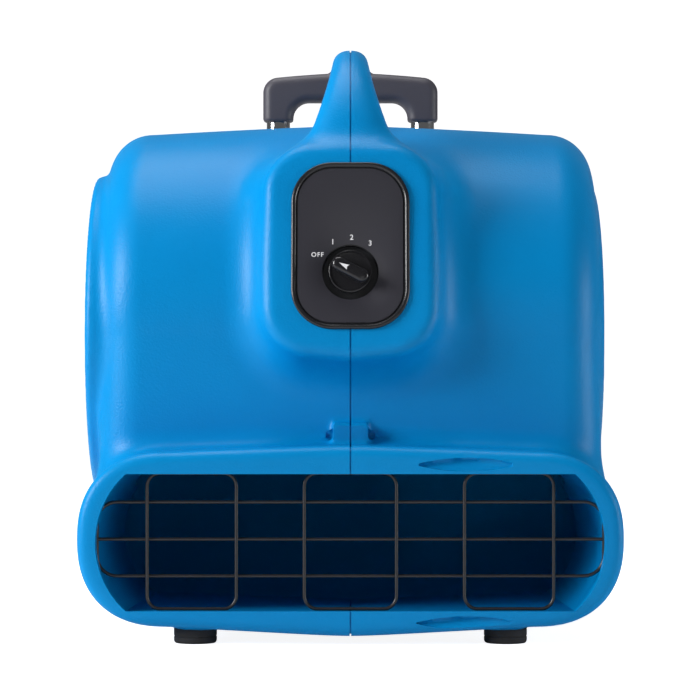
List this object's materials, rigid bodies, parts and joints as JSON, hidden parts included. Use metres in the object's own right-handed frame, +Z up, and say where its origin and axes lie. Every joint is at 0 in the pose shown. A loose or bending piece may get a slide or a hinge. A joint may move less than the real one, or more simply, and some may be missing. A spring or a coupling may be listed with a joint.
{
  "type": "air mover",
  "caption": "Centrifugal carpet dryer with a snail housing, wide low outlet, speed knob, carry handle, telescopic pulling handle and rear wheels.",
  "frame": {"origin": "on the floor, under the middle of the whole object's box", "axes": "+Z up, the outlet blows towards -Y, X along the fan shaft, the housing seam in the plane x = 0"},
  "size_m": [0.444, 0.466, 0.5055],
  "materials": {
    "housing_blue": "satin moulded plastic with a fine grain",
    "black_plastic": "fine matt texture",
    "label_charcoal": "smooth satin label",
    "gloss_black": "polished",
    "rubber": "matt",
    "tyre": "matt",
    "coated_wire": "black powder coat",
    "chrome": "bright plated",
    "steel": "zinc bright",
    "motor_paint": "satin black",
    "iron": "bare laminations",
    "aluminium": "as cast",
    "fan_plastic": "satin",
    "capacitor_can": "satin"
  },
  "bodies": {
    "frame": {"axle": "steel", "axle_cap_left": "steel", "axle_cap_right": "steel", "bearing_inner": "steel", "bearing_outer": "steel", "capacitor_clip": "steel", "control_panel": "black_plastic", "cord_gland": "black_plastic", "end_bell_inner": "aluminium", "end_bell_outer": "aluminium", "front_foot_left": "rubber", "front_foot_right": "rubber", "housing_left": "housing_blue", "housing_right": "housing_blue", "inlet_cone_left": "black_plastic", "inlet_cone_right": "black_plastic", "inlet_guard_left": "coated_wire", "inlet_guard_right": "coated_wire", "lower_bracket": "black_plastic", "lower_bracket_screw_left": "steel", "lower_bracket_screw_right": "steel", "motor_mount": "steel", "motor_stator": "motor_paint", "outer_tube_left": "chrome", "outer_tube_right": "chrome", "outlet_guard": "coated_wire", "panel_label": "label_charcoal", "rear_foot_left": "rubber", "rear_foot_right": "rubber", "rotary_switch": "black_plastic", "run_capacitor": "capacitor_can", "seam_screw_back": "steel", "seam_screw_base": "steel", "seam_screw_front": "steel", "seam_screw_handle": "steel", "switch_nut": "steel", "tube_bush_left": "black_plastic", "tube_bush_right": "black_plastic", "upper_bracket": "black_plastic", "upper_bracket_screw_left": "steel", "upper_bracket_screw_right": "steel"},
    "knob": {"speed_knob": "gloss_black", "switch_shaft": "steel"},
    "rotor": {"fan_wheel": "fan_plastic", "fan_hub": "aluminium", "hub_set_screw": "steel", "motor_shaft": "steel", "rotor_core": "iron"},
    "handle": {"telescopic_grip": "black_plastic", "inner_tube_left": "chrome", "inner_tube_right": "chrome", "button_spring": "steel"},
    "button": {"release_button": "black_plastic"},
    "pin_left": {"lock_pin_left": "steel"},
    "pin_right": {"lock_pin_right": "steel"},
    "roller_left": {"wheel_left": "black_plastic", "tyre_left": "tyre"},
    "roller_right": {"wheel_right": "black_plastic", "tyre_right": "tyre"}
  },
  "joints": [
    {"name": "fan_spin", "type": "hinge", "parent": "frame", "child": "rotor", "pos_m": [0, -0.003, 0.25], "axis": [-1, 0, 0], "continuous": true},
    {"name": "knob_turn", "type": "hinge", "parent": "frame", "child": "knob", "pos_m": [0, -0.1821, 0.3014], "axis": [0, -0.9781, 0.2079], "range_deg": [-96, 0]},
    {"name": "handle_slide", "type": "slide", "parent": "frame", "child": "handle", "axis": [0, 0, 1], "range_m": [0, 0.265]},
    {"name": "button_press", "type": "slide", "parent": "handle", "child": "button", "axis": [0, 0, -1], "range_m": [0, 0.004], "stiffness_N_per_m": 300, "springref_m": -0.01, "deforming": ["button_spring"]},
    {"name": "pin_draw_left", "type": "slide", "parent": "handle", "child": "pin_left", "axis": [1, 0, 0], "range_m": [0, 0.0036]},
    {"name": "pin_draw_right", "type": "slide", "parent": "handle", "child": "pin_right", "axis": [-1, 0, 0], "range_m": [0, 0.0036]},
    {"name": "wheel_roll_left", "type": "hinge", "parent": "frame", "child": "roller_left", "pos_m": [-0.206, 0.182, 0.056], "axis": [1, 0, 0], "continuous": true},
    {"name": "wheel_roll_right", "type": "hinge", "parent": "frame", "child": "roller_right", "pos_m": [0.206, 0.182, 0.056], "axis": [1, 0, 0], "continuous": true}
  ],
  "couplings": [
    {"joint": "pin_draw_left", "follows": "button_press", "ratio": 0.9},
    {"joint": "pin_draw_right", "follows": "button_press", "ratio": 0.9}
  ]
}
